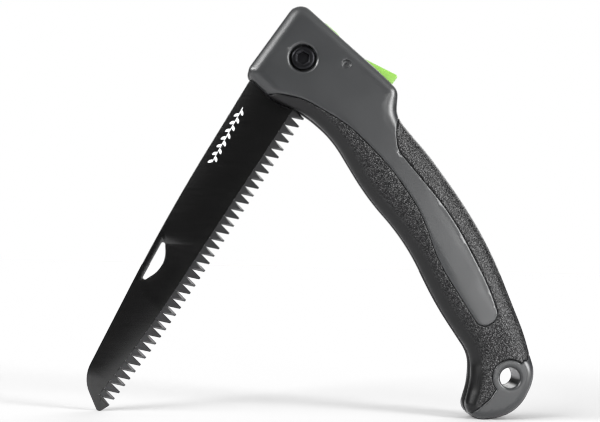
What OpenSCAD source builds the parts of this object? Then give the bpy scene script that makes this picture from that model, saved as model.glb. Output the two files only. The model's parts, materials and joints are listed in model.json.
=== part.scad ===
// Folding pruning saw: a one-piece moulded handle with a rubber grip, a blade on a pivot bolt and a locking lever.
// Sizes are in millimetres. The saw stands half folded on its blade tip and its butt, near side towards -Y.

/* [Blade] */
// Distance from the pivot to the blade's nose
blade_reach = 208.5; // [180:0.5:250]
// Thickness of the blade steel
blade_thickness = 1.4; // [1:0.1:2]
// Distance from tooth to tooth
tooth_pitch = 4.56; // [3:0.02:6]
// Depth of the gullets
tooth_depth = 6.2; // [4:0.1:8]
// Width of the flat ground on each tooth tip
tooth_flat = 0.9; // [0.3:0.1:1.5]
// Height of the first tooth tip above the pivot line
tooth_line_height = 15.9; // [12:0.1:18]
// Slope of the tooth line towards the nose
tooth_line_slope = 0.067; // [0:0.001:0.1]
// Depth of the blade's back below the pivot line
back_depth = 18.4; // [15:0.1:22]

/* [Handle] */
// Thickness of the handle across its flat sides
handle_thickness = 22; // [18:0.5:28]
// Wall between the folded blade's nose and the end of the butt
butt_wall = 2.2; // [1.8:0.1:5]
// Width of the slot the blade folds into
slot_width = 4.4; // [3.5:0.1:6]
// Thickness of the rubber moulded over the core
rubber_thickness = 2.5; // [1.5:0.1:3.5]
// Diameter of the hole for hanging the saw up
hang_hole_d = 10.6; // [6:0.2:13]

/* [Pivot] */
// Diameter of the pivot bolt's shank
bolt_d = 8; // [6:0.5:10]
// Diameter of the bolt head
bolt_head_d = 12.4; // [10:0.2:16]
// Height of the bolt head
bolt_head_height = 2.8; // [2:0.1:4]
// Width across the flats of the bolt's hex socket
socket_flats = 6; // [4:0.5:8]
// Width across the flats of the nut
nut_flats = 13; // [10:0.5:17]
// Radius of the tang the lever's nose rides on
tang_radius = 12.5; // [11:0.5:15]

/* [Locking lever] */
// Thickness of the lever between the cheeks
lever_thickness = 8; // [5:0.5:10]
// Height of the thumb button's ridge above the lever pin
button_height = 20.8; // [16:0.1:24]
// Diameter of the lever pin
pin_d = 3; // [2:0.5:4]
// Wire diameter of the lever spring
spring_wire = 0.6; // [0.4:0.1:1]
// Diameter of the lever spring
spring_d = 5; // [4:0.5:7]

/* [Pose] */
// Angle between the handle's long axis and the blade as it stands
blade_spread = 62.1; // [40:0.1:90]

/* [Hidden] */
$fn = 48;

half = handle_thickness / 2;
slot_half = slot_width / 2;
running = 0.05;            // radial clearance of turning and screwed fits
grow = blade_reach - 208.5;              // how much longer the blade is than the drawn one
butt_grow = grow + butt_wall - 2.2;
closed_tilt = 3;           // the folded blade leans this far out of the handle's axis
open_tilt = 165;           // the opened blade's direction from the handle's axis

// Colours: dark grey moulding, black rubber, coated steel, black oxide, lime nylon.
grey_moulding = [0.28, 0.29, 0.29];
black_rubber = [0.10, 0.10, 0.10];
coated_steel = [0.07, 0.07, 0.08];
oxide_steel = [0.16, 0.16, 0.17];
bright_steel = [0.62, 0.63, 0.65];
lime_nylon = [0.60, 0.84, 0.26];

// ---- Curves ----

function unit(v) = v / norm(v);
function turn(a, b) = acos(max(-1, min(1, unit(a) * unit(b))));

// A round corner at p that leaves both edges the distance cut away from it.
function corner(p0, p, p2, cut, step, least = 1) =
    let (u = unit(p0 - p), v = unit(p2 - p), angle = turn(-u, v))
    let (w = cos(angle / 2), n = max(least, ceil(angle / step)))
    let (a = p + u * cut, b = p + v * cut)
    [for (i = [0 : n])
        let (t = i / n, k = (1 - t) * (1 - t) + 2 * t * (1 - t) * w + t * t)
        ((1 - t) * (1 - t) * a + 2 * t * (1 - t) * w * p + t * t * b) / k];

function flat2(v) = [v[0], v[1]];

// A closed outline with every corner rounded; each vertex is [x, y, cut, ...].
function rounded(v, step = 10) =
    let (n = len(v))
    [for (i = [0 : n - 1])
        let (c = v[i][2])
        each (c > 0 ? corner(flat2(v[(i + n - 1) % n]), flat2(v[i]), flat2(v[(i + 1) % n]), c, step)
                    : [flat2(v[i])])];

// ---- Handle outline, in the handle's own plane: pivot at the origin, x to the butt, y to the spine ----

// The grip stretches between the head and the butt, which keep their shape.
function along(x) = x < 60 ? x : x < 170 ? 60 + (x - 60) * (1 + butt_grow / 110) : x + butt_grow;

// x, y, cut of the rounded corner, edge radius there
handle_vertices = [
    [-27.0, 15.0, 8.0, 4.0],
    [10, 25.2, 6, 4.0],
    [28, 30.3, 6, 4.0],
    [40.2, 33.0, 3.2, 3.4],
    [51.6, 24.9, 6.0, 6.0],
    [along(74), 28.8, 11, 9.0],
    [along(110), 30.9, 14.8, 10.0],
    [along(140), 28.9, 14.8, 10.0],
    [along(186), 18.9, 9, 8.0],
    [along(203.8), 12.0, 7, 4.6],
    [along(211.8), -2, 6, 4.2],
    [along(211.8), -12.6, 5, 4.2],
    [along(204.6), -27.6, 6.4, 4.4],
    [along(195.8), -26.9, 2.4, 4.8],
    [along(186.4), -16.4, 6, 6.5],
    [along(175.5), -9.8, 6, 9.0],
    [along(147), -10.6, 14, 10.0],
    [along(108), -6.0, 16, 10.0],
    [along(76), -10.8, 15, 10.0],
    [44.5, -8.8, 9.5, 8.5],
    [25.5, -13.6, 7.5, 6.5],
    [9.5, -24.4, 4, 4.6],
    [-9.8, -28.9, 4.4, 4.0]
];

// The outline as [x, y, edge radius]
handle_outline =
    let (v = handle_vertices, n = len(v))
    [for (i = [0 : n - 1])
        let (c = corner(flat2(v[(i + n - 1) % n]), flat2(v[i]), flat2(v[(i + 1) % n]), v[i][2], 9, 5))
        let (m = len(c) - 1)
        for (j = [0 : m])
            [c[j][0], c[j][1], v[i][3]]];

count = len(handle_outline);
function outline_point(i) = flat2(handle_outline[(i + count) % count]);

// Smooth the edge radius along the outline, so that it grows and shrinks gently.
function radius_at(i, reach = 4) =
    let (r = [for (k = [-reach : reach]) handle_outline[(i + k + count) % count][2]])
    (r * [for (x = r) 1]) / len(r);

// The outline runs clockwise, so this points into the handle.
function inward(i) =
    let (d = unit(outline_point(i + 1) - outline_point(i)) + unit(outline_point(i) - outline_point(i - 1)))
    let (u = unit(d))
    [u[1], -u[0]];

edge_steps = 6;

// A large edge is flatter than round: it reaches further in over the side than down over the edge.
function edge_width(r) = r + 1.1 * max(0, r - 6);

// One ring of points: the outline drawn in by the edge rounding at the given angle.
function ring(ids, inset, side, angle) =
    [for (i = ids)
        let (r = max(0.8, radius_at(i) - inset), w = max(0.8, edge_width(radius_at(i)) - inset))
        let (q = outline_point(i) + inward(i) * (inset + w * (1 - cos(angle))))
        [q[0], q[1], side * (half - inset - r + r * sin(angle))]];

// A solid with rounded edges whose side view is the outline through the numbered points.
module moulded(ids, inset) {
    n = len(ids);
    far = [for (k = [edge_steps : -1 : 0]) ring(ids, inset, -1, 90 * k / edge_steps)];
    near = [for (k = [0 : edge_steps]) ring(ids, inset, 1, 90 * k / edge_steps)];
    rings = concat(far, near);
    m = len(rings);
    points = [for (r = rings) each r];
    walls = [for (k = [0 : m - 2]) for (i = [0 : n - 1])
        each [[k * n + i, k * n + (i + 1) % n, (k + 1) * n + (i + 1) % n],
              [k * n + i, (k + 1) * n + (i + 1) % n, (k + 1) * n + i]]];
    lids = [[for (i = [n - 1 : -1 : 0]) i], [for (i = [0 : n - 1]) (m - 1) * n + i]];
    polyhedron(points = points, faces = concat(walls, lids));
}

every_point = [for (i = [0 : count - 1]) i];

// Under the rubber the core is thinner; this runs along the grip and stops inside the head and the butt.
function in_grip(p) = p[0] > 4 && p[0] < along(203) && (p[1] > 14 ? p[0] > 49 && p[0] < along(194) : true);
grip_points = [for (i = every_point) if (in_grip(outline_point(i))) i];

// ---- Side views of the rubber, the slot and the lever pocket ----

// The grey tongue lies inside the rubber, which goes round its end and on to the butt.
boss_centre = [along(196.2), 0.2];
boss_radius = 9.3;

function arc(c, r, a0, a1, n) = [for (i = [0 : n]) c + r * [cos(a0 + (a1 - a0) * i / n), sin(a0 + (a1 - a0) * i / n)]];

rubber_side = concat(
    rounded([
        [5.2, -40, 0],
        [5.2, -27.0, 3],
        [9, -20.0, 3],
        [18, -11.0, 5],
        [42, 1.4, 10],
        [along(72), 7.6, 12],
        [along(100), 8.2, 10],
        [along(126), 1.5, 12],
        [along(167.6), 1.1, 5.5],
        [along(167.6), 12.6, 4.5],
        [along(150), 17.0, 8],
        [along(110), 20.9, 16],
        [along(66), 15.4, 4],
        [57, 20.4, 3],
        [50, 28.5, 0],
        [50, 45, 0],
        [along(190.5), 45, 0],
        [along(190.5), 22, 0],
        [along(194), 12, 1.2]], 12),
    arc(boss_centre, boss_radius, 108, 276, 14),
    [[along(199.4), -14], [along(200.4), -22], [along(200.6), -40]]);

// The slot is open along the inner edge and round the front of the head, so that the blade can swing.
slot_side = [
    [-40, 9.4], [-30, 12.1], [-21.8, 13.9], [-10.9, 10.9], [-10.9, 13], [20, 13], [20, 16.2], [30, 16.1],
    [along(140), 3.2], [along(196), -7.0], [along(203.5), -8.6], [along(207), -10.6],
    [along(208.9) - butt_wall + 2.2, -13.4], [along(208.2), -16.6], [along(204.8), -20.9],
    [along(199.6), -26.1], [along(195), -31], [along(195), -45], [-40, -45]
];

pin_at = [14.6, 17.3];
pocket_side = [
    [-10.9, 9.2], [-2, 11.2], [4, 12.2], [21.2, 12.2], [21.2, 18.4], [38.2, 21.4], [38.2, 45], [-10.9, 45]
];

nose_turn = 115;
nose_tip = 4.4;
nose_root = 5.6;
function nose_point(r, side, cut) =
    [r * cos(nose_turn) + side * sin(nose_turn), r * sin(nose_turn) - side * cos(nose_turn), cut];

lever_side = [
    [-10.2, 20.6, 1.2],
    [-1.0, 23.3, 1.6],
    [5, 22.8, 2],
    [11.5, 24.6, 3],
    [34.0, pin_at[1] + button_height, 1.7],
    [37.2, 29.5, 2],
    [37.2, 24.2, 0.8],
    [22, 21.5, 1.5],
    [18.0, 13.2, 3],
    [11, 12.9, 2.4],
    [7, tang_radius + 2.5, 1.5],
    nose_point(tang_radius + 2.7, nose_root / 2, 0.6),
    nose_point(tang_radius + running, nose_tip / 2, 0.3),
    nose_point(tang_radius + running, -nose_tip / 2, 0.3),
    [-10.2, tang_radius + 1.9, 0.8]
];

// ---- Placing ----

module slab(depth) {
    translate([0, 0, -depth / 2]) linear_extrude(height = depth) children();
}

// ---- Blade, in its own plane: pivot at the origin, x towards the nose, y towards the teeth ----

first_tooth = 26.2;
nose_curve = 135;
pitch_taper = 0.0074;
function tooth_tip_y(x) =
    tooth_line_height - tooth_line_slope * (x - first_tooth) - 0.00073 * pow(max(0, x - nose_curve - grow), 2);

// The pitch narrows gently towards the nose; the last tooth stands just behind the nose's own point.
last_tooth = blade_reach - 8.9;
tooth_count = 1 + round((last_tooth - first_tooth) / tooth_pitch);
wide_pitch = (last_tooth - first_tooth) / (tooth_count - 1) + pitch_taper * (tooth_count - 1);
function tooth_x(i) = first_tooth + wide_pitch * i - pitch_taper * i * i;

teeth = [for (i = [tooth_count - 1 : -1 : 0])
    let (x = tooth_x(i), y = tooth_tip_y(x), gap = (tooth_x(i + 1) - tooth_x(i - 1)) / 4)
    each [if (i < tooth_count - 1) [x + gap - 0.15, y - tooth_depth],
          [x + tooth_flat / 2, y - 0.15],
          [x - tooth_flat / 2, y],
          [x - gap + 0.15, y - tooth_depth + 0.2]]];

function from_nose(x) = x + grow;

blade_outline = concat(
    rounded([
        [5.5, -11.2, 0],
        [17.5, -back_depth, 2.5],
        [from_nose(105), -back_depth - 3.0, 40],
        [from_nose(197.6), -back_depth + 0.6, 8],
        [from_nose(209.4), -2.7, 2.2],
        [from_nose(203.4), 0.6, 0.4],
        [from_nose(201.0), -5.6, 0.4]], 8),
    teeth,
    [[first_tooth - wide_pitch / 2, 10], [0, 10], [0, -5]]);

window_corners = [
    [from_nose(114.6), -back_depth + 1.4, 4],
    [from_nose(127.7), -back_depth + 9.4, 8],
    [from_nose(142.4), -back_depth + 1.7, 4.6]
];

// A lock notch in the rim of the tang, for the lever's nose.
module lock_notch(angle) {
    rotate([0, 0, angle])
        polygon([[tang_radius - 2.6, -nose_tip / 2 - 0.15], [tang_radius + 3, -nose_root / 2 - 0.35],
                 [tang_radius + 3, nose_root / 2 + 0.35], [tang_radius - 2.6, nose_tip / 2 + 0.15]]);
}

bush_d = bolt_d + 2;

module blade_face() {
    difference() {
        union() {
            circle(r = tang_radius);
            polygon(blade_outline);
        }
        circle(r = bush_d / 2 + running);
        polygon(rounded(window_corners, 12));
        lock_notch(nose_turn + closed_tilt);
        lock_notch(nose_turn + open_tilt);
    }
}

// ---- How the saw stands: both feet on the ground ----

all_edge = [for (p = handle_outline) flat2(p)];
function lowest(points, angle) = min([for (p = points) p[0] * sin(angle) + p[1] * cos(angle)]);
function across(points, angle) = [for (p = points) p[0] * cos(angle) - p[1] * sin(angle)];
function uneven(angle) = lowest(all_edge, angle) - lowest(blade_outline, angle - blade_spread);
function settle(lo, hi, n) =
    let (mid = (lo + hi) / 2)
    n == 0 ? mid : uneven(mid) > 0 ? settle(lo, mid, n - 1) : settle(mid, hi, n - 1);

handle_angle = settle(-80, -20, 40);
blade_angle = handle_angle - blade_spread;
pivot_height = -lowest(all_edge, handle_angle);
spread_x = concat(across(all_edge, handle_angle), across(blade_outline, blade_angle));
pivot_x = -(min(spread_x) + max(spread_x)) / 2;

// Stand a piece up at the pivot, turned in the plane of the blade; its own z points to the near side.
module stand(angle) {
    translate([pivot_x, 0, pivot_height]) rotate([90, 0, 0]) rotate([0, 0, angle]) children();
}

// ---- Handle ----

bolt_seat = half - 0.6 - bolt_head_height;
nut_height = 4;
lock_washer_height = 1.4;
nut_seat = half - 0.5 - nut_height - lock_washer_height;
pin_bore = pin_d / 2 + running;
spring_at = 28;
spring_low = 18.4;
spring_high = 24.2;

module bores() {
    cylinder(h = handle_thickness + 2, r = bolt_d / 2 + running, center = true);
    translate([0, 0, bolt_seat]) cylinder(h = 20, r = bolt_head_d / 2 + 0.85);
    translate([0, 0, half - 0.5]) cylinder(h = 0.6, r1 = bolt_head_d / 2 + 0.85, r2 = bolt_head_d / 2 + 1.45);
    translate([0, 0, -nut_seat - 20]) cylinder(h = 20, r = nut_flats / 2 / cos(30) + 0.1, $fn = 6);
    translate([pin_at[0], pin_at[1], 0]) cylinder(h = handle_thickness + 2, r = pin_bore, center = true);
    for (side = [-1, 1])
        translate([pin_at[0], pin_at[1], side * half]) cylinder(h = 2.4, r = pin_d / 2 + 0.5, center = true);
    translate([boss_centre[0], boss_centre[1], 0]) cylinder(h = handle_thickness + 2, r = hang_hole_d / 2, center = true);
}

// The moulding with the rubber's bed, the slot and the lever pocket in it, at its full thickness.
module core_moulding() {
    resize([0, 0, handle_thickness]) difference() {
        moulded(every_point, 0);
        difference() {
            slab(handle_thickness + 6) polygon(rubber_side);
            moulded(grip_points, rubber_thickness);
        }
        slab(slot_width) polygon(slot_side);
        slab(lever_thickness + 0.6) polygon(pocket_side);
    }
}

module handle_core() {
    stand(handle_angle) difference() {
        core_moulding();
        translate([spring_at, 12, 0]) rotate([-90, 0, 0]) cylinder(h = 10, r = spring_d / 2 + 0.4);
        bores();
    }
}

module grip_overmould() {
    stand(handle_angle) resize([0, 0, handle_thickness]) difference() {
        intersection() {
            moulded(every_point, 0);
            slab(handle_thickness + 6) polygon(rubber_side);
        }
        moulded(grip_points, rubber_thickness);
        slab(slot_width) polygon(slot_side);
    }
}

module blade() {
    stand(blade_angle) slab(blade_thickness) blade_face();
}

// ---- Pivot ----

module pivot_bolt() {
    stand(handle_angle) difference() {
        union() {
            translate([0, 0, -nut_seat - lock_washer_height - nut_height])
                cylinder(h = nut_seat + lock_washer_height + nut_height + bolt_seat, r = bolt_d / 2);
            translate([0, 0, bolt_seat]) cylinder(h = bolt_head_height - 0.4, r = bolt_head_d / 2);
            translate([0, 0, bolt_seat + bolt_head_height - 0.4])
                cylinder(h = 0.4, r1 = bolt_head_d / 2, r2 = bolt_head_d / 2 - 0.4);
        }
        translate([0, 0, bolt_seat - 0.6])
            rotate([0, 0, -handle_angle]) cylinder(h = 6, r = socket_flats / 2 / cos(30), $fn = 6);
    }
}

module pivot_nut() {
    stand(handle_angle) translate([0, 0, -nut_seat - lock_washer_height - nut_height]) difference() {
        cylinder(h = nut_height, r = nut_flats / 2 / cos(30), $fn = 6);
        translate([0, 0, -1]) cylinder(h = nut_height + 2, r = bolt_d / 2 + running);
    }
}

module ring_piece(inner, outer, height) {
    difference() {
        cylinder(h = height, r = outer);
        translate([0, 0, -1]) cylinder(h = height + 2, r = inner);
    }
}

module spring_washer() {
    stand(handle_angle) translate([0, 0, -nut_seat - lock_washer_height])
        ring_piece(bolt_d / 2 + running, bolt_d / 2 + 2.2, lock_washer_height);
}

module pivot_bush() {
    stand(handle_angle) translate([0, 0, -slot_half + 0.02])
        ring_piece(bolt_d / 2 + running, bush_d / 2, slot_width - 0.04);
}

washer_height = (slot_width - blade_thickness) / 2 - 0.06;

module thrust_washer(side) {
    stand(handle_angle) translate([0, 0, side * (slot_half - 0.03 - washer_height / 2) - washer_height / 2])
        ring_piece(bush_d / 2 + running, 9, washer_height);
}

module thrust_washer_near() { thrust_washer(1); }
module thrust_washer_far() { thrust_washer(-1); }

// ---- Locking lever ----

module lock_lever() {
    stand(handle_angle) difference() {
        slab(lever_thickness) polygon(rounded(lever_side, 12));
        translate([pin_at[0], pin_at[1], 0]) cylinder(h = 30, r = pin_bore, center = true);
        translate([spring_at, spring_high - 20, 0]) rotate([-90, 0, 0]) cylinder(h = 20, r = spring_d / 2 + 0.4);
    }
}

module lever_pin() {
    stand(handle_angle) translate([pin_at[0], pin_at[1], 0])
        cylinder(h = handle_thickness - 2.4, r = pin_d / 2, center = true);
}

coils = 5;
coil_steps = 16;

// A round wire wound as a spring, flat-wound for its first and last turn.
module lever_spring() {
    r = (spring_d - spring_wire) / 2;
    low = spring_low + spring_wire / 2 + 0.05;
    rise = spring_high - spring_low - spring_wire - 0.1;
    n = coils * coil_steps;
    sides = 6;
    function lift(t) = low + rise * max(0, min(1, (t - 0.5 / coils) / (1 - 1 / coils)));
    points = [for (i = [0 : n]) for (k = [0 : sides - 1])
        let (turn = 360 * i / coil_steps, wire = 360 * k / sides, q = r + spring_wire / 2 * cos(wire))
        [spring_at + q * cos(turn), lift(i / n) + spring_wire / 2 * sin(wire), q * sin(turn)]];
    walls = [for (i = [0 : n - 1]) for (k = [0 : sides - 1])
        let (a = i * sides + k, b = i * sides + (k + 1) % sides)
        each [[a, b + sides, b], [a, a + sides, b + sides]]];
    lids = [[for (k = [0 : sides - 1]) k], [for (k = [sides - 1 : -1 : 0]) n * sides + k]];
    stand(handle_angle) polyhedron(points = points, faces = concat(walls, lids));
}

color(grey_moulding) handle_core();
color(black_rubber) grip_overmould();
color(coated_steel) blade();
color(oxide_steel) pivot_bolt();
color(oxide_steel) pivot_nut();
color(bright_steel) pivot_bush();
color(bright_steel) thrust_washer_near();
color(bright_steel) thrust_washer_far();
color(bright_steel) spring_washer();
color(lime_nylon) lock_lever();
color(bright_steel) lever_pin();
color(bright_steel) lever_spring();
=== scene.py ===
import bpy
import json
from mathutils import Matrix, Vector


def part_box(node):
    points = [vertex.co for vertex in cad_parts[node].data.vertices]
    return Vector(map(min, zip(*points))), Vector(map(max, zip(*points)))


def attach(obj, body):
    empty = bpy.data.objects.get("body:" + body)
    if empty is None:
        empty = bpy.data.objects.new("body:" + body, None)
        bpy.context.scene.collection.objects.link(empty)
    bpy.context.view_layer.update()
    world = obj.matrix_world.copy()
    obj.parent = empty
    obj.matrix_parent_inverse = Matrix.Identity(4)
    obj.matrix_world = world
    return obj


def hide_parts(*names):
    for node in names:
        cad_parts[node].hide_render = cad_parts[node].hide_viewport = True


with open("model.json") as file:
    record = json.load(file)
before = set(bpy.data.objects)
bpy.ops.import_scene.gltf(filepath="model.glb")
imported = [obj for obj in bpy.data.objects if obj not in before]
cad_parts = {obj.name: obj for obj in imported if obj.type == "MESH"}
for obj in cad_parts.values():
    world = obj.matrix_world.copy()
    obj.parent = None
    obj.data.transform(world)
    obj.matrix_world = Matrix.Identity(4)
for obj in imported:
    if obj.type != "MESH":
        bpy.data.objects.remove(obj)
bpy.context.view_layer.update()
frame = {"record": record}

import json
import math

import bmesh
import bpy
import numpy as np
import openvdb
from mathutils import Matrix, Vector

# A folding pruning saw. Shapes are drawn in millimetres in the handle's or the blade's own plane, pivot at
# the origin, z to the near side, and are then stood up at the pivot that the frame gives.

record = frame["record"]
pivot = next(j for j in record["behaviour"]["joints"] if j["name"] == "blade_pivot")["pos_m"]
hole = next(m for m in record["mounts"] if m["name"] == "hang_hole")["pos_m"]
HOLE_AT = (196.2, 0.2)
PIN_AT = (14.6, 17.3)
SPREAD = 62.1
HANDLE = math.atan2(hole[2] - pivot[2], hole[0] - pivot[0]) - math.atan2(HOLE_AT[1], HOLE_AT[0])
BLADE = HANDLE - math.radians(SPREAD)
core_low, core_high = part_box("handle_core")
HALF = (core_high[1] - core_low[1]) * 500
SLOT_HALF = 2.2
RUBBER = 2.5
HOLE_RADIUS = 5.3
RECESS_RADIUS = 7.05
SEAT = 7.6
PIN_SUNK = 1.2
TANG_RADIUS = 12.5
NOTCHES = (118, 280)
NOTCH_SPAN = 12.5


def stood(angle):
    """From millimetres in a piece's own plane to where it stands."""
    return (Matrix.Translation(pivot) @ Matrix.Rotation(math.radians(90), 4, "X")
            @ Matrix.Rotation(angle, 4, "Z") @ Matrix.Scale(0.001, 4))


# ---- Outlines ----

def corner(before, at, after, cut, steps):
    """A round corner that leaves both edges the distance cut away from it."""
    u, v = (Vector(before) - Vector(at)).normalized(), (Vector(after) - Vector(at)).normalized()
    weight = math.cos((-u).angle(v) / 2)
    a, b, p = Vector(at) + u * cut, Vector(at) + v * cut, Vector(at)
    line = []
    for i in range(steps + 1):
        t = i / steps
        parts = (1 - t) ** 2, 2 * t * (1 - t) * weight, t * t
        line.append((a * parts[0] + p * parts[1] + b * parts[2]) / sum(parts))
    return line


def rounded(vertices, steps=6):
    """A closed outline with its corners rounded; each vertex is (x, y, cut) and any more values are kept."""
    line = []
    for i, v in enumerate(vertices):
        before, after = vertices[i - 1][:2], vertices[(i + 1) % len(vertices)][:2]
        points = corner(before, v[:2], after, v[2], steps) if v[2] else [Vector(v[:2])]
        line += [(p.x, p.y, *v[3:]) for p in points]
    return line


def arc(centre, radius, start, end, steps):
    turns = [math.radians(start + (end - start) * i / steps) for i in range(steps + 1)]
    return [(centre[0] + radius * math.cos(t), centre[1] + radius * math.sin(t)) for t in turns]


# x, y, cut of the corner, radius of the moulding's edge there
HANDLE_LINE = rounded([
    (-27.0, 15.0, 8.0, 4.0), (10, 25.2, 6, 4.0), (28, 30.3, 6, 4.0), (40.2, 33.0, 3.2, 3.6),
    (51.6, 24.9, 6.0, 6.4),
    (74, 28.8, 11, 9.0), (110, 30.9, 14.8, 10.0), (140, 28.9, 14.8, 10.0), (186, 18.9, 9, 8.0),
    (203.8, 12.0, 7, 4.6),
    (211.8, -2, 6, 4.2), (211.8, -12.6, 5, 4.2), (204.6, -27.6, 6.4, 4.4), (195.8, -26.9, 2.4, 4.8),
    (186.4, -16.4, 6, 6.5), (175.5, -9.8, 6, 9.0), (147, -10.6, 14, 10.0), (108, -6.0, 16, 10.0),
    (76, -10.8, 15, 10.0),
    (44.5, -8.8, 9.5, 8.5), (25.5, -13.6, 7.5, 6.5), (9.5, -24.4, 4, 4.6), (-9.8, -28.9, 4.4, 4.0)], 12)

RUBBER_LINE = rounded([
    (5.2, -40, 0), (5.2, -27.0, 3), (9, -20.0, 3), (18, -11.0, 5), (42, 1.4, 10), (72, 7.6, 12),
    (100, 8.2, 10),
    (126, 1.5, 12), (167.6, 1.1, 5.5), (167.6, 12.6, 4.5), (150, 17.0, 8), (110, 20.9, 16), (66, 15.4, 4),
    (57, 20.4, 3), (50, 28.5, 0), (50, 45, 0), (190.5, 45, 0), (190.5, 22, 0), (194, 12, 1.2)]
) + arc(HOLE_AT, 9.3, 108, 276, 24) + [(199.4, -14), (200.4, -22), (200.6, -40)]

SLOT_LINE = [
    (-40, 9.4), (-30, 12.1), (-21.8, 13.9), (-10.9, 10.9), (-10.9, 13), (20, 13), (20, 16.2), (30, 16.1),
    (140, 3.2),
    (196, -7.0), (203.5, -8.6), (207, -10.6), (208.9, -13.4), (208.2, -16.6), (204.8, -20.9), (199.6, -26.1),
    (195, -31), (195, -45), (-40, -45)]

POCKET_LINE = [(-10.9, 9.2), (-2, 11.2), (4, 12.2), (21.2, 12.2), (21.2, 18.4), (38.2, 21.4), (38.2, 45),
               (-10.9, 45)]


# ---- The two mouldings, as distances to their surfaces ----

def from_line(line, x, y):
    """Signed distance to a closed outline, negative inside, and how far along it the nearest point is."""
    line = np.array([p[:2] for p in line])
    best = np.full(x.shape, 1e9)
    where = np.zeros(x.shape)
    inside = np.zeros(x.shape, bool)
    for i, (a, b) in enumerate(zip(line, np.roll(line, -1, 0))):
        edge = b - a
        length2 = edge @ edge
        if length2 < 1e-12:
            continue
        px, py = x - a[0], y - a[1]
        t = np.clip((px * edge[0] + py * edge[1]) / length2, 0, 1)
        d = (px - t * edge[0]) ** 2 + (py - t * edge[1]) ** 2
        nearer = d < best
        best[nearer] = d[nearer]
        where[nearer] = i + t[nearer]
        if a[1] != b[1]:
            inside ^= ((a[1] > y) != (b[1] > y)) & (px < edge[0] * (y - a[1]) / edge[1])
    return np.where(inside, -1, 1) * np.sqrt(best), where


def edge_radius(where):
    """The moulding's edge radius, smoothed along the outline so that it grows and shrinks gently."""
    line = np.array(HANDLE_LINE)
    run = np.concatenate([[0], np.cumsum(np.hypot(*np.diff(np.vstack([line, line[:1]])[:, :2], axis=0).T))])
    fine = np.arange(0, run[-1], 0.5)
    radius = np.interp(fine, run, np.append(line[:, 2], line[0, 2]))
    reach = 16
    window = np.hanning(2 * reach + 1)
    smooth = np.convolve(np.concatenate([radius[-reach:], radius, radius[:reach]]), window / window.sum(),
                         "valid")
    place = np.interp(where, np.arange(len(run)), run)
    return np.interp(place, fine, smooth)


def cut_away(body, tool, soft):
    """The body without the tool; the edge that is left is rounded over the width soft."""
    near = np.maximum(soft - np.abs(body + tool), 0) / soft
    return np.maximum(body, -tool) + near * near * soft / 4


def both(a, b, soft):
    return cut_away(a, -b, soft)


# Spacing of the grid, and how far the meshes may merge flat faces
step = 0.45
MERGE = 0.02
xs, ys = np.arange(-29, 214.2, step), np.arange(-31.5, 35.5, step)
zs = np.arange(-HALF - 1.35, HALF + 1.4, step)
X, Y = np.meshgrid(xs, ys, indexing="ij")
edge, edge_place = from_line(HANDLE_LINE, X, Y)
radius = edge_radius(edge_place)
rubber_edge = from_line(RUBBER_LINE, X, Y)[0]
slot_edge = from_line(SLOT_LINE, X, Y)[0]
pocket_edge = from_line(POCKET_LINE, X, Y)[0]
Z = zs[None, None, :]


def flat(field):
    return field[:, :, None]


# A large edge is flatter than round: it reaches further in over the side than down over the edge. So does the
# head's edge, a little.
reach = radius + 1.1 * np.maximum(0, radius - 6) + 2.2 * np.clip((56 - X) / 12, 0, 1)
across = flat((edge + reach) * radius / reach)
up = np.abs(Z) - HALF + flat(radius)
outer = (np.hypot(np.maximum(across, 0), np.maximum(up, 0))
         + np.minimum(np.maximum(across, up), 0) - flat(radius))
slot = np.maximum(flat(slot_edge), np.abs(Z) - SLOT_HALF)

from_hole = np.hypot(X - HOLE_AT[0], Y - HOLE_AT[1])
from_pin = np.hypot(X - PIN_AT[0], Y - PIN_AT[1])
from_pivot = np.hypot(X, Y)
nut_flat = np.max([X * math.cos(t) + Y * math.sin(t) for t in np.radians(np.arange(30, 390, 60))], axis=0)

bed = np.maximum(flat(rubber_edge) - 0.05, -outer - RUBBER)
core = cut_away(outer, bed, 0.6)
core = cut_away(core, slot, 1.3)
core = cut_away(core, np.maximum(flat(pocket_edge), np.abs(Z) - 4.3), 1.0)
core = cut_away(core, flat(from_hole) - HOLE_RADIUS, 1.6)
core = cut_away(core, np.maximum(flat(from_pivot) - RECESS_RADIUS - np.maximum(Z - HALF + 0.8, 0), SEAT - Z),
                0.4)
core = cut_away(core, np.maximum(flat(nut_flat) - 6.6, Z + 5.1), 0.6)
core = cut_away(core, flat(from_pivot) - 4.1, 0.4)
core = cut_away(core, np.maximum(flat(from_pin) - 2.0, HALF - PIN_SUNK - np.abs(Z)), 0.4)
rubber = both(outer, flat(rubber_edge) + 0.05, 0.6)
rubber = cut_away(rubber, outer + RUBBER, 0.4)
rubber = cut_away(rubber, slot, 1.3)


def sampled(field, points):
    """The field's values between its grid points."""
    base = np.floor(points).astype(int)
    base = np.clip(base, 0, np.array(field.shape) - 2)
    part = points - base
    total = np.zeros(len(points))
    for dx in (0, 1):
        for dy in (0, 1):
            for dz in (0, 1):
                weight = (np.abs(1 - dx - part[:, 0]) * np.abs(1 - dy - part[:, 1])
                          * np.abs(1 - dz - part[:, 2]))
                total += weight * field[base[:, 0] + dx, base[:, 1] + dy, base[:, 2] + dz]
    return total


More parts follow.
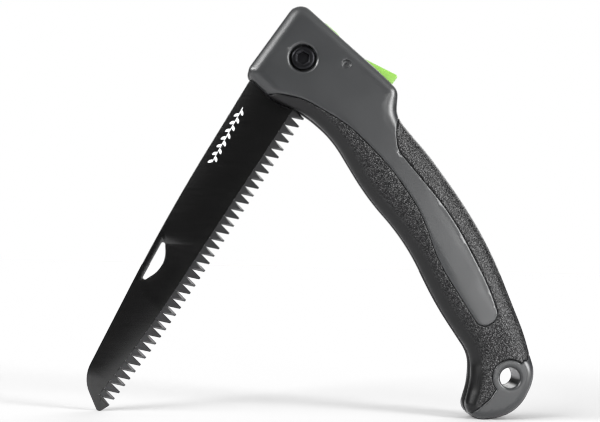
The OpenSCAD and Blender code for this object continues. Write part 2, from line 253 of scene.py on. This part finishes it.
def skin(name, field, material):
    """The surface of a moulding as one closed mesh. Its faces are larger where it is flat, and its normals are
    the field's own slope."""
    grid = openvdb.FloatGrid(3.0)
    grid.copyFromArray(field.astype(np.float32))
    points, triangles, quads = grid.convertToPolygons(isovalue=0.0, adaptivity=MERGE)
    a, b, c = points[quads[:, 0]], points[quads[:, 1]], points[quads[:, 2]]
    if np.einsum("ij,ij->i", a, np.cross(b, c)).sum() < 0:
        quads, triangles = quads[:, ::-1], triangles[:, ::-1]
    slope = np.stack([sampled(g, points) for g in np.gradient(field)], 1)
    slope /= np.linalg.norm(slope, axis=1)[:, None] + 1e-9
    place = points * step + [xs[0], ys[0], zs[0]]
    mesh = bpy.data.meshes.new(name)
    mesh.from_pydata(place.tolist(), [], quads.tolist() + triangles.tolist())
    mesh.polygons.foreach_set("use_smooth", np.ones(len(mesh.polygons), bool))
    mesh.transform(stood(HANDLE))
    turn = np.array(stood(HANDLE).to_3x3().normalized())
    mesh.normals_split_custom_set_from_vertices((slope @ turn.T).tolist())
    mesh.materials.append(material)
    piece = bpy.data.objects.new(name, mesh)
    bpy.context.collection.objects.link(piece)
    return piece, place


# ---- Materials ----

def linear(code):
    """An sRGB hex value as linear red, green and blue."""
    parts = [int(code[i:i + 2], 16) / 255 for i in (1, 3, 5)]
    return [p / 12.92 if p <= 0.04045 else ((p + 0.055) / 1.055) ** 2.4 for p in parts] + [1.0]


def add(tree, kind, inputs=None, **settings):
    """A node with its settings; an input that is given a socket is linked to it."""
    made = tree.nodes.new(kind)
    for key, value in settings.items():
        setattr(made, key, value)
    for key, value in (inputs or {}).items():
        if isinstance(value, bpy.types.NodeSocket):
            tree.links.new(value, made.inputs[key])
        else:
            made.inputs[key].default_value = value
    return made


def per_mm(size):
    """The scale that gives a pattern of this many millimetres on coordinates in metres."""
    return 1000 / size


def material(name, **values):
    made = bpy.data.materials.new(name)
    made.use_nodes = True
    tree = made.node_tree
    tree.nodes.clear()
    shader = add(tree, "ShaderNodeBsdfPrincipled", values)
    add(tree, "ShaderNodeOutputMaterial", {"Surface": shader.outputs[0]})
    return made, tree, shader


def shaded(tree, fac, low, high):
    """A colour between two, by a factor."""
    return add(tree, "ShaderNodeMix", {"Factor": fac, "A": linear(low), "B": linear(high)},
               data_type="RGBA").outputs[2]


def moulded_nylon(name, low, high, rough, spark=0.3):
    """Glass-filled nylon from a spark-eroded mould: an even satin with a very fine tooth to it.
    The tooth is really about 0.1 mm and is drawn at three times that, so that it shows."""
    made, tree, shader = material(name, IOR=1.53)
    at = add(tree, "ShaderNodeTexCoord").outputs["Object"]
    cloud = add(tree, "ShaderNodeTexNoise", {"Vector": at, "Scale": per_mm(14), "Detail": 3.0})
    tooth = add(tree, "ShaderNodeTexNoise", {"Vector": at, "Scale": per_mm(spark), "Detail": 2.0,
                                             "Roughness": 0.6})
    tree.links.new(shaded(tree, cloud.outputs[0], low, high), shader.inputs["Base Color"])
    spread = add(tree, "ShaderNodeMapRange", {"Value": cloud.outputs[0], "To Min": rough - 0.04,
                                              "To Max": rough + 0.05})
    tree.links.new(spread.outputs[0], shader.inputs["Roughness"])
    bump = add(tree, "ShaderNodeBump", {"Strength": 0.12, "Distance": 0.00004, "Height": tooth.outputs[0]})
    tree.links.new(bump.outputs[0], shader.inputs["Normal"])
    return made


def grained_rubber():
    """Thermoplastic rubber moulded on with a leather grain: near black, dull, small raised pebbles of about
    0.75 mm with soft creases between them, darkened by painted shade, and none along the smooth inner lip."""
    made, tree, shader = material("grained_rubber", IOR=1.52)
    at = add(tree, "ShaderNodeTexCoord").outputs["Object"]
    grain = add(tree, "ShaderNodeAttribute", attribute_name="grain").outputs["Fac"]
    warp = add(tree, "ShaderNodeTexNoise", {"Vector": at, "Scale": per_mm(1.6), "Detail": 1.0})
    bent = add(tree, "ShaderNodeVectorMath", {0: warp.outputs["Color"], 1: (0.0006, 0.0006, 0.0006)},
               operation="MULTIPLY")
    moved = add(tree, "ShaderNodeVectorMath", {0: at, 1: bent.outputs[0]}, operation="ADD")
    pebble = add(tree, "ShaderNodeTexVoronoi", {"Vector": moved.outputs[0], "Scale": per_mm(0.75),
                                                "Smoothness": 0.5},
                 feature="SMOOTH_F1")
    fine = add(tree, "ShaderNodeTexNoise", {"Vector": at, "Scale": per_mm(0.35), "Detail": 2.0})
    mixed = add(tree, "ShaderNodeMath", {0: fine.outputs[0], 1: -0.35, 2: pebble.outputs["Distance"]},
                operation="MULTIPLY_ADD")
    height = add(tree, "ShaderNodeMath", {0: mixed.outputs[0], 1: grain}, operation="MULTIPLY")
    bump = add(tree, "ShaderNodeBump", {"Strength": 1.0, "Distance": 0.0003, "Height": height.outputs[0]},
               invert=True)
    tree.links.new(bump.outputs[0], shader.inputs["Normal"])
    # Painted shade: the specular level is lowered in the creases between the pebbles, most where they are
    # deepest.
    crease_painted_shade = add(tree, "ShaderNodeMapRange", {"Value": pebble.outputs["Distance"], "From Min": 0.15,
                                              "From Max": 0.6,
                                              "To Min": 0.7, "To Max": 0.22})
    level = add(tree, "ShaderNodeMix", {"Factor": grain, "A": 0.28, "B": crease_painted_shade.outputs[0]},
                data_type="FLOAT")
    tree.links.new(level.outputs[0], shader.inputs["Specular IOR Level"])
    cloud = add(tree, "ShaderNodeTexNoise", {"Vector": at, "Scale": per_mm(18), "Detail": 2.0})
    tree.links.new(shaded(tree, cloud.outputs[0], "#050506", "#080809"), shader.inputs["Base Color"])
    rough = add(tree, "ShaderNodeMapRange", {"Value": grain, "To Min": 0.34, "To Max": 0.32})
    tree.links.new(rough.outputs[0], shader.inputs["Roughness"])
    return made


def coated_steel(name, low, high, rough):
    """Hard black low-friction coating sprayed and baked on spring steel: a tight satin with faint rolling
    lines under it along the blade."""
    made, tree, shader = material(name, IOR=1.6)
    at = add(tree, "ShaderNodeTexCoord").outputs["Object"]
    along = add(tree, "ShaderNodeMapping", {"Vector": at, "Rotation": (0, BLADE, 0), "Scale": (0.06, 1, 1)})
    lines = add(tree, "ShaderNodeTexNoise", {"Vector": along.outputs[0], "Scale": per_mm(0.8), "Detail": 3.0})
    cloud = add(tree, "ShaderNodeTexNoise", {"Vector": at, "Scale": per_mm(25), "Detail": 3.0})
    tree.links.new(shaded(tree, cloud.outputs[0], low, high), shader.inputs["Base Color"])
    spread = add(tree, "ShaderNodeMapRange", {"Value": lines.outputs[0], "To Min": rough - 0.05,
                                              "To Max": rough + 0.06})
    tree.links.new(spread.outputs[0], shader.inputs["Roughness"])
    bump = add(tree, "ShaderNodeBump", {"Strength": 0.08, "Distance": 0.00003, "Height": lines.outputs[0]})
    tree.links.new(bump.outputs[0], shader.inputs["Normal"])
    return made


def plain_steel(name, low, high, rough, mark):
    """Turned or drawn steel with a thin finish: black oxide is nearly black and oily, zinc is bright and
    slightly cloudy. Fine tool marks, drawn at 0.25 mm so that they show."""
    made, tree, shader = material(name, Metallic=1.0)
    at = add(tree, "ShaderNodeTexCoord").outputs["Object"]
    cloud = add(tree, "ShaderNodeTexNoise", {"Vector": at, "Scale": per_mm(3), "Detail": 4.0})
    marks = add(tree, "ShaderNodeTexNoise", {"Vector": at, "Scale": per_mm(mark), "Detail": 2.0})
    tree.links.new(shaded(tree, cloud.outputs[0], low, high), shader.inputs["Base Color"])
    spread = add(tree, "ShaderNodeMapRange", {"Value": cloud.outputs[0], "To Min": rough - 0.08,
                                              "To Max": rough + 0.08})
    tree.links.new(spread.outputs[0], shader.inputs["Roughness"])
    bump = add(tree, "ShaderNodeBump", {"Strength": 0.15, "Distance": 0.00003, "Height": marks.outputs[0]})
    tree.links.new(bump.outputs[0], shader.inputs["Normal"])
    return made


def screen_print():
    """White two-part ink screened on the coating: flat, slightly broken at its edges by the texture of the
    steel."""
    made, tree, shader = material("screen_print_ink", IOR=1.5)
    at = add(tree, "ShaderNodeTexCoord").outputs["Object"]
    speck = add(tree, "ShaderNodeTexNoise", {"Vector": at, "Scale": per_mm(0.5), "Detail": 3.0})
    tree.links.new(shaded(tree, speck.outputs[0], "#d2d3d4", "#f2f3f3"), shader.inputs["Base Color"])
    spread = add(tree, "ShaderNodeMapRange", {"Value": speck.outputs[0], "To Min": 0.5, "To Max": 0.7})
    tree.links.new(spread.outputs[0], shader.inputs["Roughness"])
    return made


grey_nylon = moulded_nylon("grey_moulded_nylon", "#202122", "#252627", 0.32)
lime_nylon = moulded_nylon("lime_moulded_nylon", "#6a9438", "#749e43", 0.36)
rubber_look = grained_rubber()
blade_look = coated_steel("black_coated_steel", "#030303", "#040404", 0.19)
teeth_look = coated_steel("coated_ground_teeth", "#101011", "#161617", 0.3)
oxide_steel = plain_steel("black_oxide_steel", "#1c1c1e", "#272729", 0.36, 0.25)
zinc_steel = plain_steel("zinc_plated_steel", "#a9abad", "#c3c4c5", 0.3, 0.25)
ink = screen_print()


# ---- Mesh helpers ----

def piece_from(name, mesh, finish):
    mesh.materials.clear()
    mesh.materials.append(finish)
    piece = bpy.data.objects.new(name, mesh)
    bpy.context.collection.objects.link(piece)
    return piece


def plate(name, outline, holes, thickness, bevel, steps, square=lambda p: False):
    """A flat plate with rounded edges and holes; edges whose both ends pass the test square stay square."""
    shape = bmesh.new()
    loops = []
    for line in [outline, *holes]:
        line = [p for i, p in enumerate(line) if (Vector(p[:2]) - Vector(line[i - 1][:2])).length > 1e-4]
        ring = [shape.verts.new((p[0], p[1], -thickness / 2)) for p in line]
        loops += [shape.edges.new((ring[i - 1], ring[i])) for i in range(len(ring))]
    bmesh.ops.triangle_fill(shape, use_beauty=True, edges=loops)
    bmesh.ops.recalc_face_normals(shape, faces=shape.faces)
    raised = bmesh.ops.extrude_face_region(shape, geom=shape.faces[:])
    top = [v for v in raised["geom"] if isinstance(v, bmesh.types.BMVert)]
    bmesh.ops.translate(shape, verts=top, vec=(0, 0, thickness))
    bmesh.ops.recalc_face_normals(shape, faces=shape.faces)
    rim = [e for e in shape.edges
           if len(e.link_faces) == 2 and e.link_faces[0].normal.angle(e.link_faces[1].normal) > 0.9
           and abs(e.verts[0].co.z - e.verts[1].co.z) < 1e-6
           and not (square(e.verts[0].co) and square(e.verts[1].co))]
    if bevel:
        bmesh.ops.bevel(shape, geom=rim, offset=bevel, segments=steps, profile=0.5, affect="EDGES")
    mesh = bpy.data.meshes.new(name)
    shape.to_mesh(mesh)
    shape.free()
    return smoothed(mesh)


def smoothed(mesh, angle=32):
    mesh.polygons.foreach_set("use_smooth", [True] * len(mesh.polygons))
    mesh.set_sharp_from_angle(angle=math.radians(angle))
    return mesh


SIDES = 96


def turned(name, rings, hollow=False, turn=0.0):
    """A turned piece: rings of (height, radius) or (height, radius, flats), where flats gives a hexagon that
    is that wide, cut off at the radius. A hollow piece closes on itself."""
    shape = bmesh.new()
    rows = []
    for height, radius, *flats in rings:
        row = []
        for k in range(SIDES):
            t = 2 * math.pi * k / SIDES
            r = radius
            if flats:
                r = min(r, flats[0] / 2 / math.cos((t + math.pi / 6) % (math.pi / 3) - math.pi / 6))
            row.append(shape.verts.new((r * math.cos(t + turn), r * math.sin(t + turn), height)))
        rows.append(row)
    pairs = list(zip(rows, rows[1:])) + ([(rows[-1], rows[0])] if hollow else [])
    for low, high in pairs:
        for k in range(SIDES):
            j = (k + 1) % SIDES
            shape.faces.new((low[k], low[j], high[j], high[k]))
    if not hollow:
        shape.faces.new(rows[0][::-1])
        shape.faces.new(rows[-1])
    bmesh.ops.remove_doubles(shape, verts=shape.verts, dist=1e-5)
    bmesh.ops.recalc_face_normals(shape, faces=shape.faces)
    mesh = bpy.data.meshes.new(name)
    shape.to_mesh(mesh)
    shape.free()
    return smoothed(mesh)


def placed(mesh, angle, x=0.0, y=0.0):
    mesh.transform(stood(angle) @ Matrix.Translation((x, y, 0)))
    return mesh


def joined(name, meshes):
    """Several meshes as one; each keeps its material."""
    shape = bmesh.new()
    finishes = []
    for mesh in meshes:
        start = len(shape.faces)
        shape.from_mesh(mesh)
        shape.faces.ensure_lookup_table()
        for face in shape.faces[start:]:
            face.material_index = len(finishes)
        finishes.append(mesh.materials[0])
    mesh = bpy.data.meshes.new(name)
    shape.to_mesh(mesh)
    shape.free()
    for finish in finishes:
        mesh.materials.append(finish)
    piece = bpy.data.objects.new(name, mesh)
    bpy.context.collection.objects.link(piece)
    return piece


# ---- Geometry nodes ----

def tree_with(name, *inputs):
    """An empty geometry tree with named inputs, and the nodes at its two ends."""
    tree = bpy.data.node_groups.new(name, "GeometryNodeTree")
    tree.interface.new_socket("Geometry", in_out="INPUT", socket_type="NodeSocketGeometry")
    for label, kind in inputs:
        tree.interface.new_socket(label, in_out="INPUT", socket_type=kind)
    tree.interface.new_socket("Geometry", in_out="OUTPUT", socket_type="NodeSocketGeometry")
    return tree, tree.nodes.new("NodeGroupInput")


def ended(tree, geometry, finish):
    real = add(tree, "GeometryNodeRealizeInstances", {0: geometry})
    dressed = add(tree, "GeometryNodeSetMaterial", {"Geometry": real.outputs[0], "Material": finish})
    add(tree, "NodeGroupOutput", {0: dressed.outputs[0]})


def row_tree():
    """Two shapes, set by turns on the points of a row."""
    tree, given = tree_with("row of shapes", ("Even shape", "NodeSocketObject"),
                            ("Odd shape", "NodeSocketObject"),
                            ("Finish", "NodeSocketMaterial"))
    index = add(tree, "GeometryNodeInputIndex")
    odd = add(tree, "ShaderNodeMath", {0: index.outputs[0], 1: 2.0}, operation="MODULO")
    even = add(tree, "ShaderNodeMath", {0: 1.0, 1: odd.outputs[0]}, operation="SUBTRACT")
    turn = add(tree, "GeometryNodeInputNamedAttribute", {"Name": "turn"}, data_type="FLOAT_VECTOR")
    size = add(tree, "GeometryNodeInputNamedAttribute", {"Name": "size"}, data_type="FLOAT_VECTOR")
    rows = []
    for label, chosen in (("Even shape", even), ("Odd shape", odd)):
        shape = add(tree, "GeometryNodeObjectInfo", {"Object": given.outputs[label]})
        rows.append(add(tree, "GeometryNodeInstanceOnPoints", {
            "Points": given.outputs["Geometry"], "Selection": chosen.outputs[0],
            "Instance": shape.outputs["Geometry"],
            "Rotation": turn.outputs[0], "Scale": size.outputs[0]}))
    whole = add(tree, "GeometryNodeJoinGeometry")
    for row in rows:
        tree.links.new(row.outputs[0], whole.inputs[0])
    ended(tree, whole.outputs[0], given.outputs["Finish"])
    return tree


def wire_tree():
    """A round wire along a curve."""
    tree, given = tree_with("round wire", ("Wire radius", "NodeSocketFloat"),
                            ("Finish", "NodeSocketMaterial"))
    section = add(tree, "GeometryNodeCurvePrimitiveCircle",
                  {"Resolution": 12, "Radius": given.outputs["Wire radius"]})
    wire = add(tree, "GeometryNodeCurveToMesh", {"Curve": given.outputs["Geometry"],
                                                 "Profile Curve": section.outputs[0],
                                                 "Fill Caps": True})
    ended(tree, wire.outputs[0], given.outputs["Finish"])
    return tree


def grown(name, data, tree, values):
    """The plain mesh that a geometry tree makes from data."""
    seed = bpy.data.objects.new(name + " seed", data)
    bpy.context.collection.objects.link(seed)
    modifier = seed.modifiers.new(name, "NODES")
    modifier.node_group = tree
    sockets = {s.name: s.identifier for s in tree.interface.items_tree if s.in_out == "INPUT"}
    for label, value in values.items():
        modifier[sockets[label]] = value
    depsgraph = bpy.context.evaluated_depsgraph_get()
    mesh = bpy.data.meshes.new_from_object(seed.evaluated_get(depsgraph), depsgraph=depsgraph)
    seed.modifiers.clear()
    bpy.data.objects.remove(seed)
    mesh.materials.clear()
    mesh.materials.append(values["Finish"])
    mesh.polygons.foreach_set("material_index", [0] * len(mesh.polygons))
    return mesh


def row_of(name, spots, shapes, finish):
    """Shapes by turns on spots of (place, turn about z, size)."""
    data = bpy.data.meshes.new(name + " spots")
    data.from_pydata([s[0] for s in spots], [], [])
    for label, values in (("turn", [(0, 0, s[1]) for s in spots]), ("size", [s[2] for s in spots])):
        data.attributes.new(label, "FLOAT_VECTOR", "POINT").data.foreach_set("vector", np.ravel(values))
    holders = []
    for k, shape in enumerate(shapes):
        holders.append(bpy.data.objects.new(f"{name} shape {k}", shape))
        bpy.context.collection.objects.link(holders[-1])
    mesh = grown(name, data, row_tree(), {"Even shape": holders[0], "Odd shape": holders[1],
                                          "Finish": finish})
    for holder in holders:
        bpy.data.objects.remove(holder)
    return mesh


# ---- Handle ----

handle_moulding, _ = skin("handle_moulding", core, grey_nylon)
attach(handle_moulding, "handle")
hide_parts("handle_core")

grip, grip_points = skin("rubber_grip", rubber, rubber_look)
# The grain stops short of the smooth lip along the inner edge.
spot = ((grip_points - [xs[0], ys[0], zs[0]]) / step)[:, :2]
spot = np.column_stack([spot, np.zeros(len(spot))])
depth = -sampled(np.repeat(flat(edge), 2, axis=2), spot)
inner_side = (sampled(np.repeat(flat(Y), 2, axis=2), spot)
              < np.interp(grip_points[:, 0], [0, 60, 100, 200], [-4, 8, 10, 8]))
grain = np.clip((depth - 4.2) / 2.2, 0, 1)
grain = np.where(inner_side, grain, 1.0)
grip.data.attributes.new("grain", "FLOAT", "POINT").data.foreach_set("value", grain)
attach(grip, "handle")
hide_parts("grip_overmould")


# ---- Blade ----

BLADE_THICK = 1.4
TEETH, FIRST, TOOTHED, TAPER = 39, 26.2, 173.4, 0.0074
TOOTH_DEEP, TIP_FLAT = 6.2, 0.9


def tooth_x(i):
    return FIRST + (TOOTHED / (TEETH - 1) + TAPER * (TEETH - 1)) * i - TAPER * i * i


def tooth_top(x):
    return 15.9 - 0.067 * (x - FIRST) - 0.00073 * max(0, x - 135) ** 2


def tooth(name, side):
    """One pull tooth, 1 mm of blade under it. Its flanks and top are ground from one side, so that the other
    face keeps the full outline and this one comes to a point."""
    w, deep, foot = 0.5, TOOTH_DEEP, TOOTH_DEEP + 1.4
    f = TIP_FLAT / 2 / 4.6
    full = [(w, -foot), (w, -deep + 0.1), (f, -0.15), (-f, 0), (-w, -deep + 0.1), (-w, -foot)]
    ground = [(w, -foot), (w, -deep - 1.0), (0.03, -2.3), (-0.03, -2.2), (-w, -deep - 1.0), (-w, -foot)]
    shape = bmesh.new()
    t = BLADE_THICK / 2
    far = [shape.verts.new((x, y, -side * t)) for x, y in full]
    near = [shape.verts.new((x, y, side * t)) for x, y in ground]
    shape.faces.new(far)
    shape.faces.new(near)
    for i in range(6):
        shape.faces.new((far[i - 1], far[i], near[i], near[i - 1]))
    bmesh.ops.recalc_face_normals(shape, faces=shape.faces)
    mesh = bpy.data.meshes.new(name)
    shape.to_mesh(mesh)
    shape.free()
    return mesh


spots = []
for i in range(TEETH):
    x = tooth_x(i)
    wide = (tooth_x(i + 1) - tooth_x(i - 1)) / 2
    spots.append(((x, tooth_top(x), 0), 0.0, (wide, 1, 1)))
teeth = row_of("teeth", spots, [tooth("tooth ground near", 1), tooth("tooth ground far", -1)], teeth_look)

start, end = tooth_x(-0.5), tooth_x(TEETH - 0.5)
tooth_foot = [(x, tooth_top(x) - TOOTH_DEEP - 1.3) for x in [tooth_x(i - 0.5) for i in range(TEETH, -1, -1)]]
blade_line = [p[:2] for p in rounded([
    (5.5, -11.2, 0), (17.5, -18.4, 2.5), (105, -21.4, 40), (197.6, -17.8, 8), (209.4, -2.7, 2.2),
    (203.4, 0.6, 0.4),
    (201.0, -5.6, 0.4)], 10)] + tooth_foot + [(start, 10), (0, 10)]


def in_notch(p):
    """The rim of the tang drops into two notches for the lever's nose."""
    turn = math.degrees(math.atan2(p[1], p[0])) % 360
    return any(abs((turn - at + 180) % 360 - 180) < NOTCH_SPAN for at in NOTCHES)


def notch(at):
    u = Vector((math.cos(math.radians(at)), math.sin(math.radians(at))))
    v = Vector((-u.y, u.x))
    return [tuple(u * r + v * s) for r, s in ((12.15, -2.85), (9.9, -2.35), (9.9, 2.35), (12.15, 2.85))]


rim = [(TANG_RADIUS * math.cos(t), TANG_RADIUS * math.sin(t)) for t in np.radians(np.arange(56, 297, 3))]
tang_line = [p for p in rim if not in_notch(p)]
for at in NOTCHES:
    k = next(i for i, p in enumerate(tang_line) if math.degrees(math.atan2(p[1], p[0])) % 360 > at)
    tang_line[k:k] = notch(at)
blade_line = blade_line[:-1] + tang_line
window = [p[:2] for p in rounded([(114.6, -17.0, 4), (127.7, -9.0, 8), (142.4, -16.7, 4.6)], 12)]
bore = arc((0, 0), 5.05, 0, 352.5, 47)
body = plate("blade plate", blade_line, [window, bore], BLADE_THICK, 0.14, 2,
             square=lambda p: p.x > start - 0.1 and p.y > -7 and p.x < end + 0.5)
body.materials.append(blade_look)
blade = joined("saw_blade", [placed(body, BLADE), placed(teeth, BLADE)])
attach(blade, "blade")
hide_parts("blade")


def leaf(name, side):
    """A pointed leaf on a short stalk, leaning to one side of the twig."""
    long, wide = 3.1, 1.3
    outline = [(t * long, wide / 2 * math.sin(math.pi * t) ** 0.8) for t in np.linspace(0.0, 1, 10)]
    outline += [(p[0], -p[1]) for p in outline[-2:0:-1]]
    lean = math.radians(38 * side)
    outline = [(x * math.cos(lean) - y * math.sin(lean), x * math.sin(lean) + y * math.cos(lean))
               for x, y in outline]
    return plate(name, outline, [], 0.03, 0, 1)


# A printed twig in place of lettering
twig = plate("twig", [(36.5, -14.55), (36.5, -14.85), (69, -14.8), (69, -14.6)], [], 0.03, 0, 1)
twig.materials.append(ink)
leaves = row_of("leaves", [((38 + 2.3 * i, -14.7, 0), 0.0, (1, 1, 1)) for i in range(14)],
                [leaf("leaf up", 1), leaf("leaf down", -1)], ink)
for mesh in (twig, leaves):
    mesh.transform(Matrix.Translation((0, 0, BLADE_THICK / 2 + 0.016)))
print_piece = joined("blade_print", [placed(twig, BLADE), placed(leaves, BLADE)])
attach(print_piece, "blade")


# ---- Pivot ----

bolt_mesh = turned("bolt", [
    (-10.5, 3.4), (-9.9, 4.0), (SEAT, 4.0), (SEAT, 5.8), (SEAT + 0.2, 6.2), (SEAT + 1.8, 6.2),
    (SEAT + 2.3, 6.0),
    (SEAT + 2.7, 5.5), (SEAT + 2.8, 5.1), (SEAT + 2.8, 3.75), (SEAT + 2.55, 3.5, 6.06),
    (SEAT + 0.6, 3.5, 6.0)],
    turn=-HANDLE)
bolt = piece_from("pivot_bolt_shown", placed(bolt_mesh, HANDLE), oxide_steel)
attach(bolt, "handle")
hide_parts("pivot_bolt")

nut_mesh = turned("nut", [
    (-6.5, 4.3), (-6.5, 6.6, 13), (-6.9, 7.5, 13), (-10.1, 7.5, 13), (-10.5, 6.6, 13), (-10.5, 4.6),
    (-10.1, 4.06),
    (-6.9, 4.06)], hollow=True)
nut = piece_from("pivot_nut_shown", placed(nut_mesh, HANDLE), oxide_steel)
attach(nut, "handle")
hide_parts("pivot_nut")

rings = [
    ("pivot_bush", "pivot_bush_shown", 4.06, 5.0, -2.18, 2.18, 0.2),
    ("thrust_washer_near", "near_thrust_washer", 5.06, 9.0, 0.73, 2.17, 0.2),
    ("thrust_washer_far", "far_thrust_washer", 5.06, 9.0, -2.17, -0.73, 0.2),
    ("spring_washer", "lock_washer", 4.06, 6.2, -6.5, -5.1, 0.15)]
for node, name, inner, out, low, high, cut in rings:
    mesh = turned(name, [(low, inner + cut), (low, out - cut), (low + cut, out), (high - cut, out),
                         (high, out - cut),
                         (high, inner + cut), (high - cut, inner), (low + cut, inner)], hollow=True)
    ring = piece_from(name, placed(mesh, HANDLE), zinc_steel)
    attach(ring, "handle")
    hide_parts(node)


# ---- Locking lever ----

def nose(r, side, cut):
    t = math.radians(115)
    return (r * math.cos(t) + side * math.sin(t), r * math.sin(t) - side * math.cos(t), cut)


lever_line = rounded([
    (-10.2, 20.6, 1.2), (-1.0, 23.3, 1.6), (5, 22.8, 2), (11.5, 24.6, 3), (34.0, 38.1, 1.7), (37.2, 29.5, 2),
    (37.2, 24.2, 0.8), (22, 21.5, 1.5), (18.0, 13.2, 3), (11, 12.9, 2.4), (7, 15.0, 1.5),
    nose(15.2, 2.8, 0.6),
    nose(12.55, 2.2, 0.3), nose(12.55, -2.2, 0.3), (-10.2, 14.4, 0.8)], 8)
lever_mesh = plate("lever", lever_line, [arc(PIN_AT, 1.55, 0, 345, 23)], 8, 0.5, 4)
lever = piece_from("thumb_lever", placed(lever_mesh, HANDLE), lime_nylon)
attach(lever, "lever")
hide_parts("lock_lever")

pin_mesh = turned("pin", [(-HALF + PIN_SUNK, 1.1), (-HALF + 1.6, 1.5), (HALF - 1.6, 1.5),
                          (HALF - PIN_SUNK, 1.1)])
pin = piece_from("lever_pin_shown", placed(pin_mesh, HANDLE, *PIN_AT), oxide_steel)
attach(pin, "handle")
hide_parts("lever_pin")

coil = bpy.data.curves.new("coil", "CURVE")
coil.dimensions = "3D"
turns, low, high, coil_r = 5, 18.75, 23.85, 2.2
line = coil.splines.new("POLY")
line.points.add(turns * 32)
for i, point in enumerate(line.points):
    t = i / (turns * 32)
    rise = min(1, max(0, (t - 0.1) / 0.8))
    point.co = (28 + coil_r * math.cos(math.tau * turns * t), low + (high - low) * rise,
                coil_r * math.sin(math.tau * turns * t), 1)
spring_mesh = grown("lever_spring_wire", coil, wire_tree(), {"Wire radius": 0.3, "Finish": zinc_steel})
spring = piece_from("lever_spring_shown", placed(smoothed(spring_mesh, 50), HANDLE), zinc_steel)
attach(spring, "handle")
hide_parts("lever_spring")


# ---- Floor, light and camera ----

floor_look, tree, shader = material("matte_white_board", IOR=1.45)
at = add(tree, "ShaderNodeTexCoord").outputs["Object"]
cloud = add(tree, "ShaderNodeTexNoise", {"Vector": at, "Scale": 1.5, "Detail": 2.0})
tree.links.new(shaded(tree, cloud.outputs[0], "#d6d6d7", "#dadadb"), shader.inputs["Base Color"])
shader.inputs["Roughness"].default_value = 0.9
shader.inputs["Specular IOR Level"].default_value = 0.1
floor_mesh = bpy.data.meshes.new("floor")
floor_mesh.from_pydata([(-40, -0.6, 0), (40, -0.6, 0), (40, 40, 0), (-40, 40, 0)], [], [(0, 1, 2, 3)])
floor = piece_from("floor", floor_mesh, floor_look)
floor.is_shadow_catcher = True

world = bpy.data.worlds.new("studio")
bpy.context.scene.world = world
world.use_nodes = True
tree = world.node_tree
tree.nodes.clear()
path = add(tree, "ShaderNodeLightPath")
room = add(tree, "ShaderNodeBackground", {"Color": linear("#ffffff"), "Strength": 0.06})
white = add(tree, "ShaderNodeBackground", {"Color": linear("#ffffff"), "Strength": 1.0})
seen = add(tree, "ShaderNodeMixShader", {0: path.outputs["Is Camera Ray"], 1: room.outputs[0],
                                         2: white.outputs[0]})
add(tree, "ShaderNodeOutputWorld", {"Surface": seen.outputs[0]})


def softbox(name, place, target, width, height, watts):
    data = bpy.data.lights.new(name, "AREA")
    data.shape, data.size, data.size_y, data.energy = "RECTANGLE", width, height, watts
    lamp = bpy.data.objects.new(name, data)
    lamp.location = place
    lamp.rotation_euler = (Vector(target) - Vector(place)).to_track_quat("-Z", "Y").to_euler()
    bpy.context.collection.objects.link(lamp)
    return lamp


sun_data = bpy.data.lights.new("overhead", "SUN")
sun_data.energy, sun_data.angle = 1.5, math.radians(110)
overhead = bpy.data.objects.new("overhead", sun_data)
overhead.rotation_euler = (math.radians(8), math.radians(6), 0)
bpy.context.collection.objects.link(overhead)
middle = (0, 0, 0.1)
softbox("left strip", (-0.95, -0.6, 0.75), middle, 1.2, 0.2, 27)
softbox("right strip", (1.0, -0.68, 0.36), middle, 0.45, 0.9, 26)
softbox("back box", (0.5, 1.3, 0.8), middle, 1.3, 0.9, 13)
softbox("low card", (0.42, -1.15, 0.11), middle, 0.25, 0.3, 2.8)
softbox("front fill", (-0.7, -1.1, 1.6), middle, 0.6, 0.6, 6)

camera_data = bpy.data.cameras.new("camera")
camera_data.sensor_width = 36
camera_data.lens = 80.5
camera_data.clip_start, camera_data.clip_end = 0.05, 100
camera = bpy.data.objects.new("camera", camera_data)
camera.location = Vector(pivot) + Vector((-0.0502, -0.6944, -0.1067))
camera.rotation_euler = [math.radians(a) for a in (92.33, -1.53, -4.30)]
bpy.context.collection.objects.link(camera)
bpy.context.scene.camera = camera
bpy.context.scene.view_settings.view_transform = "Standard"

bpy.context.view_layer.update()
